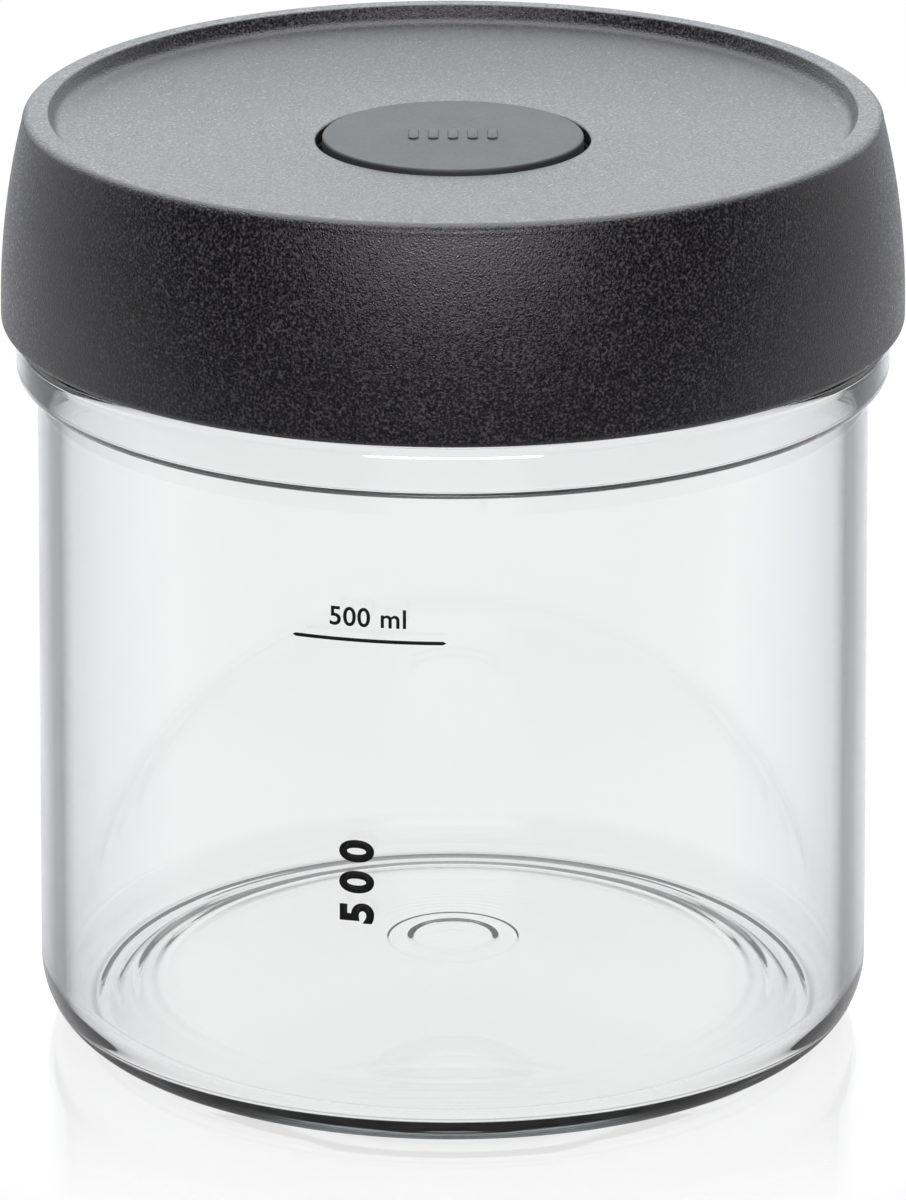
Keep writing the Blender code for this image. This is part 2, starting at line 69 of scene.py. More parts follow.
# Glass
JAR_RADIUS = 53.1
BASE_RADIUS = 53.9
JAR_WALL = 2.7
FOOT_CORNER_WIDTH = 6.3
FOOT_CORNER_HEIGHT = 8.0
FOOT_INNER_RADIUS = 46.4
FLOOR_CENTRE_Z = 10.0
FLOOR_EDGE_Z = 3.6
FLOOR_POWER = 1.5
PUNT_RADIUS = 39.5
PUNT_EDGE_Z = 1.9
PUNT_CENTRE_Z = 7.2
PUNT_POWER = 1.7
RIPPLE_START = 37.0
RIPPLE_COUNT = 4
RIPPLE_HEIGHT = 0.05
DIMPLE_RADIUS = 8.6
DIMPLE_EDGE = 0.4
DIMPLE_DEPTH = 0.08
PIT_RADIUS = 6.0
PIT_EDGE = 1.1
PIT_DEPTH = 0.35
CREASE_Z = 86.4
BEAD_RADIUS = 55.8
BEAD_TOP_Z = 93.4
BEAD_CORNER = 2.1
NECK_RADIUS = 50.8
NECK_WALL = 2.6
NECK_FILLET = 1.0
SHOULDER_INNER_DROP = 3.0
SHOULDER_FILLET = 6.0
LIP_Z = 110.9
FOOT_FLAT_RADIUS = BASE_RADIUS - FOOT_CORNER_WIDTH

# Screw lugs
LUG_COUNT = 6
LUG_LEAD = 36.0
GLASS_LUG_HEIGHT = 1.4
GLASS_LUG_THICKNESS = 2.2
GLASS_LUG_SPAN = radians(44)
GLASS_LUG_Z = 101.0
LID_LUG_HEIGHT = 1.5
LID_LUG_THICKNESS = 2.0
LID_LUG_START = radians(4)
LID_LUG_SPAN = radians(18)
LUG_CLEARANCE = 0.4
LUG_WALL_REACH = 0.05
GLASS_LUG_RINGS = (98.0, 108.0)
LID_LUG_RINGS = (97.0, 102.5)

# Lid cover
LID_BOTTOM_Z = 93.9
LID_TOP_Z = 121.1
LID_RADIUS = 57.62
SKIRT_DRAW_IN = 3.05
SKIRT_POWER = 2.1
SKIRT_WALL = 1.4
SKIRT_EDGE = 0.9
SKIRT_EDGE_END = -8.0
SKIRT_FOOT_BEVEL = 0.2
SKIRT_INNER_TOP = 2.5
RIM_EDGE = 1.35
RIM_EDGE_START = 14.4
RIM_INNER_RADIUS = 51.3
RIM_INNER_FILLET = 0.35
RIM_WALL_RADIUS = 50.1
RIM_WALL_DEPTH = 2.1
RIM_WALL_FILLET = 1.8
RECESS_DEPTH = 4.2
DISH_RADIUS = 49.3
DISH_MARGIN = 0.4
DISH_RISE = 2.0
DISH_FLAT_RADIUS = 24.0
DISH_POWER = 1.6
TOP_PLATE = 1.8
BUTTON_HOLE_RADIUS = 17.43
BUTTON_HOLE_FILLET = 0.35
RECESS_Z = LID_TOP_Z - RECESS_DEPTH
PLATE_UNDERSIDE_Z = RECESS_Z - TOP_PLATE

# Liner and sealing ring
LINER_RADIUS = 54.0
LINER_INNER_RADIUS = 52.7
LINER_BOTTOM_Z = 95.3
LINER_PLATE = 1.55
LINER_STEP_RADIUS = 24.6
LINER_OPENING_RADIUS = 20.1
GASKET_RIB_RADIUS = 46.0
GASKET_RIB_WIDTH = 1.0
GASKET_RIB_DEPTH = 1.3
GASKET_OUTER_RADIUS = 52.3
GASKET_INNER_RADIUS = 46.4
GASKET_LIP_RADIUS = 47.8
GASKET_LIP_DROP = 1.8
LINER_TOP_Z = PLATE_UNDERSIDE_Z - GAP
LINER_UNDERSIDE_Z = LINER_TOP_Z - LINER_PLATE
GASKET_TOP_Z = LINER_UNDERSIDE_Z - GAP
GASKET_BOTTOM_Z = LIP_Z + GAP

# Valve
HOUSING_FLANGE_RADIUS = 24.3
HOUSING_FLANGE = 1.25
HOUSING_RADIUS = 19.7
HOUSING_INNER_RADIUS = 17.6
HOUSING_FLOOR_Z = 104.6
HOUSING_FLOOR = 1.6
GUIDE_RADIUS = 4.4
GUIDE_BORE = 2.9
SEAT_RADIUS = 6.4
SEAT_WIDTH = 1.0
SEAT_DEPTH = 0.6
PORT_COUNT = 6
PORT_RADIUS = 1.2
PORT_CIRCLE_RADIUS = 10.5
BUTTON_RADIUS = 16.6
BUTTON_PROUD = 0.5
BUTTON_EDGE = 0.35
BUTTON_SKIN = 1.6
BUTTON_LIP = 0.5
BUTTON_LIP_REACH = 1.2
BUTTON_TRAVEL = 1.5
CORE_THICKNESS = 2.4
STEM_RADIUS = 2.3
STEM_END_Z = 96.6
STEM_GROOVE_RADIUS = 1.6
STEM_GROOVE_PLAY = 0.1
MEMBRANE_RADIUS = 13.5
MEMBRANE_HUB_RADIUS = 7.6
MEMBRANE_HUB = 1.2
MEMBRANE_FLAP = 0.6
MEMBRANE_TIP = 0.36
SEAL_RADIUS = 7.6
SEAL_THICKNESS = 1.0
POPPET_RADIUS = 8.0
POPPET_DISC = 1.0
POPPET_HUB_RADIUS = 4.2
POPPET_HUB = 1.0
CLIP_THICKNESS = 0.8
CLIP_INNER_RADIUS = 1.9
CLIP_OUTER_RADIUS = 4.2
CLIP_SPAN = radians(290)
SPRING_RADIUS = 6.0
SPRING_WIRE = 0.4
SPRING_TURNS = 4.5
FLANGE_UNDERSIDE_Z = LINER_TOP_Z - HOUSING_FLANGE
BUTTON_TOP_Z = RECESS_Z + BUTTON_PROUD
CORE_TOP_Z = BUTTON_TOP_Z - BUTTON_SKIN - GAP
CORE_BOTTOM_Z = CORE_TOP_Z - CORE_THICKNESS
GUIDE_TOP_Z = CORE_BOTTOM_Z - BUTTON_TRAVEL - GAP
MEMBRANE_Z = HOUSING_FLOOR_Z + GAP
SEAT_Z = HOUSING_FLOOR_Z - HOUSING_FLOOR - SEAT_DEPTH
SEAL_TOP_Z = SEAT_Z - GAP
POPPET_TOP_Z = SEAL_TOP_Z - SEAL_THICKNESS - GAP
CLIP_TOP_Z = POPPET_TOP_Z - POPPET_DISC - POPPET_HUB - GAP

# Print on the glass and relief on the button, both generic
PRINT_THICKNESS = 0.04
PRINT_LIFT = 0.02
FILL_LINE_Z = 67.6
FILL_LINE_START = radians(-21.65)
FILL_LINE_END = radians(-0.89)
FILL_LINE_WIDTH = 0.45
LABEL = "500 ml"
LABEL_Z = 69.3
LABEL_SIZE = 3.4
LABEL_BOLDNESS = 0.05
LABEL_SPACING = 1.05
LABEL_MIDDLE = radians(-11.3)
NUMBER = "500"
NUMBER_SIZE = 5.6
NUMBER_BOLDNESS = 0.24
NUMBER_SPACING = 1.45
NUMBER_MIDDLE = radians(-12.6)
NUMBER_Z = 36.0
PIP_COUNT = 5
PIP_LENGTH = 4.6
PIP_WIDTH = 1.3
PIP_PITCH = 2.5
PIP_HEIGHT = 0.22
PIP_ROUNDING = ((0, 0.02), (0, 0.11), (0.06, 0.187), (0.2, PIP_HEIGHT))

# Camera, placed by the photograph: it looks down by CAMERA_PITCH from in front
CAMERA_PLACE = (0, -970.0, 385.3)
CAMERA_PITCH = radians(18.8)
CAMERA_LENS = 237.8
CAMERA_SENSOR = 36.0

# Surroundings by direction, as radiance where white is 1
WORLD_FRONT = 0.04
WORLD_BACK = 0.95
WORLD_TURN = (-0.2, 0.45)
GLASS_SKY_LOW = 1.0
GLASS_SKY_HIGH = 0.3
GLASS_SKY_CLIMB = (0.55, 0.9)
FLAG_GLOW = 0.03
FLAG_REACH = (0.22, 0.45)

# Table, with its paler back and a painted contact shadow: a darker ring round where the foot stands on
# it
TABLE_REACH = 4000.0
TABLE_GLOW = 0.95
TABLE_FRONT = 0.10
TABLE_BACK = 0.50
TABLE_TURN = (-200.0, -50.0)
TABLE_MIRROR = 0.25
MIRROR_FADE = (48.0, 85.0)
MIRROR_ROUGHNESS = 0.03
# painted shadow: the table glows less in this ring round the foot, also where it is seen through the
# glass
SHADOW_RING_INNER = 46.4
SHADOW_RING_OUTER = 47.9
SHADOW_RING_FADE = 0.5
SHADOW_RING_GLOW = 0.55

# Glass finish
GLASS_IOR = 1.5
GLASS_TINT = (0.48, 0.54, 0.55)
GLASS_DENSITY = 24.0
# painted shade: the outer wall's colour by how edge on it faces, on upright faces only
GLASS_EDGE_SHADE = ((0.3, 0.97), (0.5, 0.76), (0.62, 0.52), (0.69, 0.08), (0.76, 0.06), (0.88, 0.3))
GLASS_UPRIGHT = (0.02, 0.2)
GLASS_CLOUD = 30.0
GLASS_WAVE = 14.0
GLASS_WAVE_DEPTH = 0.02

# The middle part of a noise's range, where nearly all of it lies
NOISE_RANGE = (0.3, 0.7)


def arc(centre_r, centre_z, radius, start, end, steps, height=None):
    """Outline points along an arc, with angles in degrees from the outward direction.

    height is the upright radius, where the arc is part of an ellipse."""
    height = height or radius
    points = []
    for i in range(steps + 1):
        angle = radians(start + (end - start) * i / steps)
        points.append((centre_r + radius * cos(angle), centre_z + height * sin(angle)))
    return points


def filleted(corners):
    """An outline whose corners, given as (radius, height, fillet), are rounded by arcs."""
    outline = []
    for i, (r, z, fillet) in enumerate(corners):
        if not fillet:
            outline.append((r, z))
            continue
        corner = Vector((r, z))
        before = (Vector(corners[i - 1][:2]) - corner).normalized()
        after = (Vector(corners[(i + 1) % len(corners)][:2]) - corner).normalized()
        half = before.angle(after) / 2
        centre = corner + (before + after).normalized() * (fillet / sin(half))
        start = corner + before * (fillet / tan(half)) - centre
        end = corner + after * (fillet / tan(half)) - centre
        turn = atan2(start.x * end.y - start.y * end.x, start.dot(end))
        steps = max(2, ceil(abs(turn) / FILLET_STEP))
        first = atan2(start.y, start.x)
        for j in range(steps + 1):
            angle = first + turn * j / steps
            outline.append((centre.x + fillet * cos(angle), centre.y + fillet * sin(angle)))
    return outline


def with_edge_loops(outline, closed):
    """Points close to both ends of each long straight run, which keep its shading flat."""
    dense = []
    count = len(outline)
    for i, (r, z) in enumerate(outline):
        dense.append((r, z))
        if i == count - 1 and not closed:
            break
        next_r, next_z = outline[(i + 1) % count]
        length = hypot(next_r - r, next_z - z)
        if length > 8 * EDGE_LOOP:
            for share in (EDGE_LOOP / length, 1 - EDGE_LOOP / length):
                dense.append((r + (next_r - r) * share, z + (next_z - z) * share))
    return dense


def stepped(outline, low, high, step):
    """The outline with more rings where it climbs between two heights."""
    dense = []
    for (r, z), (next_r, next_z) in zip(outline, outline[1:] + outline[:1]):
        dense.append((r, z))
        inside = min(z, next_z) < high and max(z, next_z) > low
        count = ceil(abs(next_z - z) / step) if inside else 1
        for i in range(1, count):
            dense.append((r + (next_r - r) * i / count, z + (next_z - z) * i / count))
    return dense


def new_piece(name, bm, body, slot, mat, *nodes):
    """A finished mesh piece that rides on a body and stands for CAD nodes."""
    mesh = bpy.data.meshes.new(name)
    bm.to_mesh(mesh)
    bm.free()
    piece = bpy.data.objects.new(name, mesh)
    bpy.context.collection.objects.link(piece)
    mesh.materials.append(mat)
    mesh.shade_smooth()
    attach(piece, body)
    if nodes:
        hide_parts(*nodes)
    return piece


def turned(outline, segments=TURNED_SEGMENTS, relief=None):
    """A closed solid turned about Z. relief(angle, r, z) moves a point outward."""
    on_axis = [r < ON_AXIS for r, z in outline]
    closed = not (on_axis[0] and on_axis[-1])
    outline = with_edge_loops(outline, closed)
    bm = bmesh.new()
    rings = []
    for r, z in outline:
        if r < ON_AXIS:
            rings.append([bm.verts.new((0, 0, z * MM))] * segments)
            continue
        ring = []
        for i in range(segments):
            angle = 2 * pi * i / segments
            reach = r + (relief(angle, r, z) if relief else 0)
            ring.append(bm.verts.new((reach * sin(angle) * MM, -reach * cos(angle) * MM, z * MM)))
        rings.append(ring)
    pairs = list(zip(rings, rings[1:]))
    if closed:
        pairs.append((rings[-1], rings[0]))
    for near, far in pairs:
        for i in range(segments):
            j = (i + 1) % segments
            corners = list(dict.fromkeys((near[i], near[j], far[j], far[i])))
            bm.faces.new(corners)
    bmesh.ops.recalc_face_normals(bm, faces=bm.faces)
    return bm


def lofted(bm, sections):
    """Join a row of equal rings of points, in millimetres, into one closed body."""
    rings = [[bm.verts.new(Vector(point) * MM) for point in section] for section in sections]
    sides = len(rings[0])
    for near, far in zip(rings, rings[1:]):
        for i in range(sides):
            j = (i + 1) % sides
            bm.faces.new((near[i], near[j], far[j], far[i]))
    bm.faces.new(rings[0])
    bm.faces.new(rings[-1])
    bmesh.ops.recalc_face_normals(bm, faces=bm.faces)


def lug_relief(wall_radius, height, thickness, start, span, start_z):
    """Rounded helical lugs standing on a wall, outward for a positive height."""
    def relief(angle, r, z):
        if abs(r - wall_radius) > LUG_WALL_REACH:
            return 0
        rise = 0
        for lug in range(LUG_COUNT):
            along = (angle - start - lug * 2 * pi / LUG_COUNT) % (2 * pi)
            if along > span:
                continue
            middle = start_z + LUG_LEAD * (start + along) / (2 * pi)
            across = 2 * (z - middle) / thickness
            if abs(across) < 1:
                end = min(1, 6 * min(along, span - along) / span)
                rise = max(rise, (1 - across ** 4) ** 2 * sqrt(end * (2 - end)))
        return height * rise
    return relief


def ease(share):
    """A smooth climb from 0 to 1, level at both ends."""
    share = min(1, max(0, share))
    return share * share * (3 - 2 * share)


def floor_height(r):
    """The inside of the base, a dome that ends level at the corner."""
    rise = FLOOR_CENTRE_Z - FLOOR_EDGE_Z
    return FLOOR_EDGE_Z + rise * (1 - (r / FOOT_FLAT_RADIUS) ** 2) ** FLOOR_POWER


def punt_height(r):
    """The hollow underside of the base: a dimple, a dome and the rippled slope to the foot."""
    waves = RIPPLE_COUNT * max(0, r - RIPPLE_START) / (FOOT_INNER_RADIUS - RIPPLE_START)
    ripple = RIPPLE_HEIGHT * (1 - cos(2 * pi * waves)) / 2
    if r > PUNT_RADIUS:
        return PUNT_EDGE_Z * (FOOT_INNER_RADIUS - r) / (FOOT_INNER_RADIUS - PUNT_RADIUS) + ripple
    dimple = DIMPLE_DEPTH * ease((DIMPLE_RADIUS - r) / DIMPLE_EDGE)
    pit = PIT_DEPTH * ease((PIT_RADIUS - r) / PIT_EDGE)
    dome = PUNT_CENTRE_Z + (PUNT_EDGE_Z - PUNT_CENTRE_Z) * (r / PUNT_RADIUS) ** PUNT_POWER
    return dome + dimple + pit + ripple


def make_jar(glass):
    neck_inner = NECK_RADIUS - NECK_WALL
    bead_centre = BEAD_RADIUS - BEAD_CORNER
    lip_radius = NECK_WALL / 2
    outline = []
    pit_floor = PIT_RADIUS - PIT_EDGE
    for start, end, step in ((0, pit_floor, BASE_STEP), (pit_floor, DIMPLE_RADIUS, PIT_STEP),
                             (DIMPLE_RADIUS, RIPPLE_START, BASE_STEP),
                             (RIPPLE_START, FOOT_INNER_RADIUS, RIPPLE_STEP)):
        count = round((end - start) / step)
        for i in range(count):
            r = start + (end - start) * i / count
            outline.append((r, punt_height(r)))
    outline += [(FOOT_INNER_RADIUS, 0)]
    outline += arc(FOOT_FLAT_RADIUS, FOOT_CORNER_HEIGHT, FOOT_CORNER_WIDTH, -90, 0, 26,
                   FOOT_CORNER_HEIGHT)
    outline += [(JAR_RADIUS, CREASE_Z)]
    outline += arc(bead_centre, CREASE_Z + BEAD_CORNER, BEAD_CORNER, -75, 0, 12)
    outline += arc(bead_centre, BEAD_TOP_Z - BEAD_CORNER, BEAD_CORNER, 0, 90, 12)
    outline += arc(NECK_RADIUS + NECK_FILLET, BEAD_TOP_Z + NECK_FILLET, NECK_FILLET, 270, 180, 6)
    outline += arc(NECK_RADIUS - lip_radius, LIP_Z - lip_radius, lip_radius, 0, 180, 16)
    outline += filleted([(neck_inner, LIP_Z - lip_radius, 0),
                         (neck_inner, BEAD_TOP_Z, SHOULDER_FILLET),
                         (JAR_RADIUS - JAR_WALL, CREASE_Z - SHOULDER_INNER_DROP, SHOULDER_FILLET),
                         (BASE_RADIUS - JAR_WALL, FOOT_CORNER_HEIGHT, 0)])[1:-1]
    outline += arc(FOOT_FLAT_RADIUS, FOOT_CORNER_HEIGHT, FOOT_CORNER_WIDTH - JAR_WALL, 0, -87, 17,
                   FOOT_CORNER_HEIGHT - FLOOR_EDGE_Z)
    floor_edge = FOOT_FLAT_RADIUS - 1
    for i in range(FLOOR_STEPS + 1):
        r = floor_edge * (1 - i / FLOOR_STEPS)
        outline.append((r, floor_height(r)))
    relief = lug_relief(NECK_RADIUS, GLASS_LUG_HEIGHT, GLASS_LUG_THICKNESS, 0, GLASS_LUG_SPAN,
                        GLASS_LUG_Z)
    bm = turned(stepped(outline, *GLASS_LUG_RINGS, LUG_RING_STEP), relief=relief)
    new_piece("glass_jar", bm, "jar", "glass", glass, "jar_glass")


def wall_radius(z):
    """The outside of the wall, which widens a little downward."""
    share = (CREASE_Z - z) / (CREASE_Z - FOOT_CORNER_HEIGHT)
    return JAR_RADIUS + (BASE_RADIUS - JAR_RADIUS) * share


def wrapped(bm):
    """Bend a flat drawing, x sideways and y up, round the front of the glass."""
    for vert in bm.verts:
        angle = vert.co.x / JAR_RADIUS
        reach = wall_radius(vert.co.y) + PRINT_LIFT + vert.co.z
        vert.co = (reach * sin(angle) * MM, -reach * cos(angle) * MM, vert.co.y * MM)


def make_fill_line(ink):
    """The curved line at the highest filling, with round ends."""
    bm = bmesh.new()
    start, end = FILL_LINE_START * JAR_RADIUS, FILL_LINE_END * JAR_RADIUS
    half = FILL_LINE_WIDTH / 2
    steps = 48
    sections = []
    for i in range(steps + 1):
        x = start + (end - start) * i / steps
        to_end = min(x - start, end - x)
        reach = half if to_end > half else max(0.02, sqrt(max(0, half ** 2 - (half - to_end) ** 2)))
        sections.append([(x, FILL_LINE_Z - reach, 0), (x, FILL_LINE_Z + reach, 0),
                         (x, FILL_LINE_Z + reach, PRINT_THICKNESS),
                         (x, FILL_LINE_Z - reach, PRINT_THICKNESS)])
    lofted(bm, sections)
    bmesh.ops.scale(bm, vec=(1 / MM, 1 / MM, 1 / MM), verts=bm.verts)
    wrapped(bm)
    new_piece("fill_line", bm, "jar", "lid_black", ink)


def flat_text(text, size, boldness, spacing):
    """A solid of letters around the origin, in millimetres, as thick as the print."""
    curve = bpy.data.curves.new("letters", "FONT")
    curve.body = text
    curve.size = size
    curve.offset = boldness
    curve.space_character = spacing
    curve.extrude = PRINT_THICKNESS / 2
    curve.align_x = "CENTER"
    curve.align_y = "CENTER"
    letters = bpy.data.objects.new("letters", curve)
    bpy.context.collection.objects.link(letters)
    depsgraph = bpy.context.evaluated_depsgraph_get()
    mesh = bpy.data.meshes.new_from_object(letters.evaluated_get(depsgraph))
    bm = bmesh.new()
    bm.from_mesh(mesh)
    bmesh.ops.remove_doubles(bm, verts=bm.verts, dist=1e-4)
    bmesh.ops.triangulate(bm, faces=bm.faces)
    bmesh.ops.recalc_face_normals(bm, faces=bm.faces)
    bmesh.ops.translate(bm, vec=(0, 0, PRINT_THICKNESS / 2), verts=bm.verts)
    bpy.data.objects.remove(letters, do_unlink=True)
    return bm


def make_print(ink):
    """A plain measure over the fill line and a bold number that runs up the front."""
    label = flat_text(LABEL, LABEL_SIZE, LABEL_BOLDNESS, LABEL_SPACING)
    bmesh.ops.translate(label, vec=(LABEL_MIDDLE * JAR_RADIUS, LABEL_Z + LABEL_SIZE / 3, 0),
                        verts=label.verts)
    wrapped(label)
    new_piece("measure_label", label, "jar", "lid_black", ink)
    number = flat_text(NUMBER, NUMBER_SIZE, NUMBER_BOLDNESS, NUMBER_SPACING)
    bmesh.ops.rotate(number, matrix=Matrix.Rotation(pi / 2, 3, "Z"), verts=number.verts)
    bmesh.ops.translate(number, vec=(NUMBER_MIDDLE * JAR_RADIUS, NUMBER_Z, 0), verts=number.verts)
    wrapped(number)
    new_piece("measure_number", number, "jar", "lid_black", ink)


def skirt_radius(z):
    """The convex outer wall of the lid, widest near its lower edge."""
    low = LID_BOTTOM_Z + SKIRT_EDGE
    high = LID_TOP_Z - RIM_EDGE
    return LID_RADIUS - SKIRT_DRAW_IN * max(0, (z - low) / (high - low)) ** SKIRT_POWER


def dish_height(r):
    """The sunken top of the lid, flat round the button and rising towards the rim."""
    share = max(0, (r - DISH_FLAT_RADIUS) / (DISH_RADIUS - DISH_FLAT_RADIUS))
    return RECESS_Z + DISH_RISE * share ** DISH_POWER


def make_cover(black):
    rim_start = LID_TOP_Z - RIM_EDGE
    lower_edge = LID_BOTTOM_Z + SKIRT_EDGE
    heights = [lower_edge + (rim_start - lower_edge) * i / SKIRT_STEPS
               for i in range(SKIRT_STEPS + 1)]
    inner_foot = LID_RADIUS - SKIRT_WALL
    outline = [(inner_foot, LID_BOTTOM_Z + SKIRT_FOOT_BEVEL),
               (inner_foot + SKIRT_FOOT_BEVEL, LID_BOTTOM_Z)]
    outline += arc(LID_RADIUS - SKIRT_EDGE, lower_edge, SKIRT_EDGE, -90, SKIRT_EDGE_END, 8)
    outline += [(skirt_radius(z), z) for z in heights]
    rim_centre = skirt_radius(rim_start) - RIM_EDGE
    outline += arc(rim_centre, rim_start, RIM_EDGE, RIM_EDGE_START, 90, 10)
    dish_edge = DISH_RADIUS - DISH_MARGIN
    wall_foot_z = LID_TOP_Z - RIM_WALL_DEPTH
    outline += filleted([(rim_centre, LID_TOP_Z, 0),
                         (RIM_INNER_RADIUS, LID_TOP_Z, RIM_INNER_FILLET),
                         (RIM_WALL_RADIUS, wall_foot_z, RIM_WALL_FILLET),
                         (dish_edge, dish_height(dish_edge), 0)])[1:-1]
    for i in range(DISH_STEPS + 1):
        r = dish_edge + (DISH_FLAT_RADIUS - dish_edge) * i / DISH_STEPS
        outline.append((r, dish_height(r)))
    plate_corner = RIM_INNER_RADIUS - RECESS_DEPTH
    outline += filleted([(DISH_FLAT_RADIUS, RECESS_Z, 0),
                         (BUTTON_HOLE_RADIUS, RECESS_Z, BUTTON_HOLE_FILLET),
                         (BUTTON_HOLE_RADIUS, PLATE_UNDERSIDE_Z, 0.1),
                         (plate_corner, PLATE_UNDERSIDE_Z, 0)])[1:-1]
    outline += arc(plate_corner, LID_TOP_Z, RECESS_DEPTH + TOP_PLATE, -90, -35, 8)
    outline += [(skirt_radius(z) - SKIRT_WALL, z) for z in reversed(heights)
                if lower_edge < z < PLATE_UNDERSIDE_Z + SKIRT_INNER_TOP]
    new_piece("lid_shell", turned(outline), "lid", "lid_black", black, "lid_cover")


def make_liner(plastic):
    rib_inner = GASKET_RIB_RADIUS - GASKET_RIB_WIDTH
    rib_z = LINER_UNDERSIDE_Z - GASKET_RIB_DEPTH
    step_top = FLANGE_UNDERSIDE_Z - GAP
    step_bottom = step_top - LINER_PLATE
    step_outer = LINER_STEP_RADIUS + LINER_PLATE
    outline = filleted([(LINER_RADIUS, LINER_TOP_Z, 0.5), (LINER_STEP_RADIUS, LINER_TOP_Z, 0.2),
                        (LINER_STEP_RADIUS, step_top, 0.1), (LINER_OPENING_RADIUS, step_top, 0.3),
                        (LINER_OPENING_RADIUS, step_bottom, 0.3), (step_outer, step_bottom, 0.5),
                        (step_outer, LINER_UNDERSIDE_Z, 0.3), (rib_inner, LINER_UNDERSIDE_Z, 0.3),
                        (rib_inner, rib_z, 0.3), (GASKET_RIB_RADIUS, rib_z, 0.2),
                        (GASKET_RIB_RADIUS, LINER_UNDERSIDE_Z, 0.1),
                        (LINER_INNER_RADIUS, LINER_UNDERSIDE_Z, 0.1),
                        (LINER_INNER_RADIUS, LINER_BOTTOM_Z, 0.3),
                        (LINER_RADIUS, LINER_BOTTOM_Z, 0.4)])
    drop = (GLASS_LUG_THICKNESS + LID_LUG_THICKNESS) / 2 + LUG_CLEARANCE
    relief = lug_relief(LINER_INNER_RADIUS, -LID_LUG_HEIGHT, LID_LUG_THICKNESS, LID_LUG_START,
                        LID_LUG_SPAN, GLASS_LUG_Z - drop)
    bm = turned(stepped(outline, *LID_LUG_RINGS, LUG_RING_STEP), relief=relief)
    new_piece("screw_liner", bm, "lid", "liner_plastic", plastic, "lid_liner")


def make_gasket(silicone):
    lip_bottom = GASKET_BOTTOM_Z - GASKET_LIP_DROP
    outline = filleted([(GASKET_INNER_RADIUS, GASKET_TOP_Z, 0.3),
                        (GASKET_INNER_RADIUS, lip_bottom, 0.5),
                        (GASKET_LIP_RADIUS, lip_bottom, 0.5),
                        (GASKET_LIP_RADIUS, GASKET_BOTTOM_Z, 0.2),
                        (GASKET_OUTER_RADIUS, GASKET_BOTTOM_Z, 0.6),
                        (GASKET_OUTER_RADIUS, GASKET_TOP_Z, 0.6)])
    new_piece("lid_gasket", turned(outline), "seal", "seal_silicone", silicone, "sealing_ring")


def make_housing(plastic):
    """The valve cup, with its ring of gas ports drilled through the floor."""
    underside = HOUSING_FLOOR_Z - HOUSING_FLOOR
    seat_inner = SEAT_RADIUS - SEAT_WIDTH
    outline = filleted([(GUIDE_BORE, GUIDE_TOP_Z, 0.3), (GUIDE_BORE, underside, 0.1),
                        (seat_inner, underside, 0.1), (seat_inner, SEAT_Z, 0.2),
                        (SEAT_RADIUS, SEAT_Z, 0.2), (SEAT_RADIUS, underside, 0.15),
                        (HOUSING_RADIUS, underside, 1.0),
                        (HOUSING_RADIUS, FLANGE_UNDERSIDE_Z, 0.2),
                        (HOUSING_FLANGE_RADIUS, FLANGE_UNDERSIDE_Z, 0.3),
                        (HOUSING_FLANGE_RADIUS, LINER_TOP_Z, 0.3),
                        (HOUSING_INNER_RADIUS, LINER_TOP_Z, 0.3),
                        (HOUSING_INNER_RADIUS, HOUSING_FLOOR_Z, 0.5),
                        (GUIDE_RADIUS, HOUSING_FLOOR_Z, 0.3), (GUIDE_RADIUS, GUIDE_TOP_Z, 0.3)])
    cup = new_piece("valve_cup", turned(outline, MIDDLE_SEGMENTS), "lid", "liner_plastic", plastic,
                    "valve_housing")
    drills = bmesh.new()
    for i in range(PORT_COUNT):
        angle = 2 * pi * i / PORT_COUNT
        centre = Vector((PORT_CIRCLE_RADIUS * cos(angle), PORT_CIRCLE_RADIUS * sin(angle),
                         HOUSING_FLOOR_Z - HOUSING_FLOOR / 2)) * MM
        bmesh.ops.create_cone(drills, cap_ends=True, segments=32, radius1=PORT_RADIUS * MM,
                              radius2=PORT_RADIUS * MM, depth=2 * HOUSING_FLOOR * MM,
                              matrix=Matrix.Translation(centre))
    tool_mesh = bpy.data.meshes.new("drills")
    drills.to_mesh(tool_mesh)
    drills.free()
    tool = bpy.data.objects.new("drills", tool_mesh)
    bpy.context.collection.objects.link(tool)
    cut = cup.modifiers.new("ports", "BOOLEAN")
    cut.operation = "DIFFERENCE"
    cut.solver = "EXACT"
    cut.object = tool
    depsgraph = bpy.context.evaluated_depsgraph_get()
    drilled = bpy.data.meshes.new_from_object(cup.evaluated_get(depsgraph))
    cup.modifiers.clear()
    cup.data = drilled
    drilled.shade_smooth()
    drilled.set_sharp_from_angle(angle=SHARP_EDGE)
    bpy.data.objects.remove(tool, do_unlink=True)


def make_membrane(silicone):
    inner = GUIDE_RADIUS + GAP
    outline = filleted([(inner, MEMBRANE_Z, 0.1), (MEMBRANE_RADIUS, MEMBRANE_Z, 0.1),
                        (MEMBRANE_RADIUS, MEMBRANE_Z + MEMBRANE_TIP, 0.15),
                        (MEMBRANE_HUB_RADIUS, MEMBRANE_Z + MEMBRANE_FLAP, 0.2),
                        (MEMBRANE_HUB_RADIUS - GAP, MEMBRANE_Z + MEMBRANE_HUB, 0.2),
                        (inner, MEMBRANE_Z + MEMBRANE_HUB, 0.2)])
    new_piece("vent_flap", turned(outline, SMALL_SEGMENTS), "lid", "seal_silicone", silicone,
              "vent_membrane")


